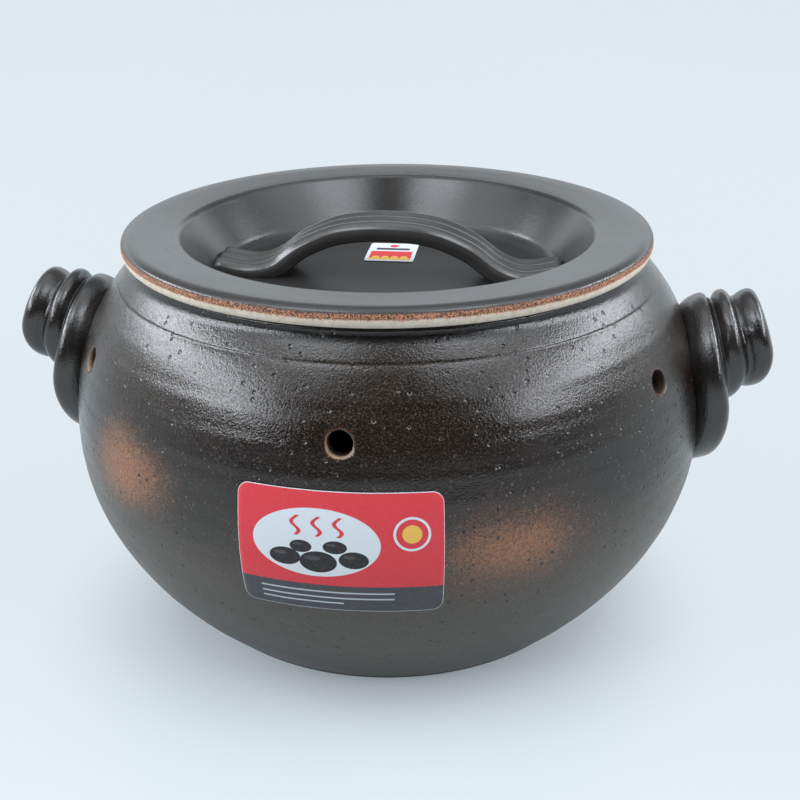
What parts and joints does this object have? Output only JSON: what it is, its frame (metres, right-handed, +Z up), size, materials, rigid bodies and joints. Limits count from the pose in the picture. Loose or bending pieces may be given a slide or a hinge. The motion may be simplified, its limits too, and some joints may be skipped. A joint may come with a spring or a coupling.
{
  "type": "stone roasting pot",
  "caption": "Round-bellied clay pot for roasting on hot pebbles, with ribbed lug handles, steam vents in the shoulder and a dished lift-off lid with a grooved strap handle.",
  "frame": {"origin": "middle of the base, on the surface that the pot stands on", "axes": "+X through the right lug, +Y to the back, +Z up; the front label and one vent face -Y"},
  "size_m": [0.3238, 0.2705, 0.1667],
  "materials": {
    "pot_glaze": "dark brown speckled satin glaze over thrown clay, with ochre flashes and a barer brown foot",
    "lug_glaze": "dark brown glossy glaze",
    "lid_glaze": "smooth dark grey-brown satin glaze, with a bare cream clay edge below the brim",
    "pot_label_paper": null,
    "lid_label_paper": null,
    "pebble_stone": "smooth matt river pebble"
  },
  "bodies": {
    "pot": {"pot_body": "pot_glaze", "handle_right": "lug_glaze", "handle_left": "lug_glaze", "pot_label": "pot_label_paper", "pebble_01": "pebble_stone", "pebble_02": "pebble_stone", "pebble_03": "pebble_stone", "pebble_04": "pebble_stone", "pebble_05": "pebble_stone", "pebble_06": "pebble_stone", "pebble_07": "pebble_stone", "pebble_08": "pebble_stone", "pebble_09": "pebble_stone", "pebble_10": "pebble_stone", "pebble_11": "pebble_stone", "pebble_12": "pebble_stone", "pebble_13": "pebble_stone", "pebble_14": "pebble_stone", "pebble_15": "pebble_stone", "pebble_16": "pebble_stone", "pebble_17": "pebble_stone", "pebble_18": "pebble_stone", "pebble_19": "pebble_stone", "pebble_20": "pebble_stone", "pebble_21": "pebble_stone", "pebble_22": "pebble_stone", "pebble_23": "pebble_stone", "pebble_24": "pebble_stone", "pebble_25": "pebble_stone", "pebble_26": "pebble_stone", "pebble_27": "pebble_stone", "pebble_28": "pebble_stone", "pebble_29": "pebble_stone", "pebble_30": "pebble_stone", "pebble_31": "pebble_stone", "pebble_32": "pebble_stone", "pebble_33": "pebble_stone", "pebble_34": "pebble_stone", "pebble_35": "pebble_stone", "pebble_36": "pebble_stone", "pebble_37": "pebble_stone"},
    "lid": {"lid": "lid_glaze", "lid_handle": "lid_glaze", "lid_label": "lid_label_paper"}
  },
  "joints": [
    {"name": "lid_lift", "type": "slide", "parent": "pot", "child": "lid", "axis": [0, 0, 1], "range_m": [0, 0.14]}
  ]
}
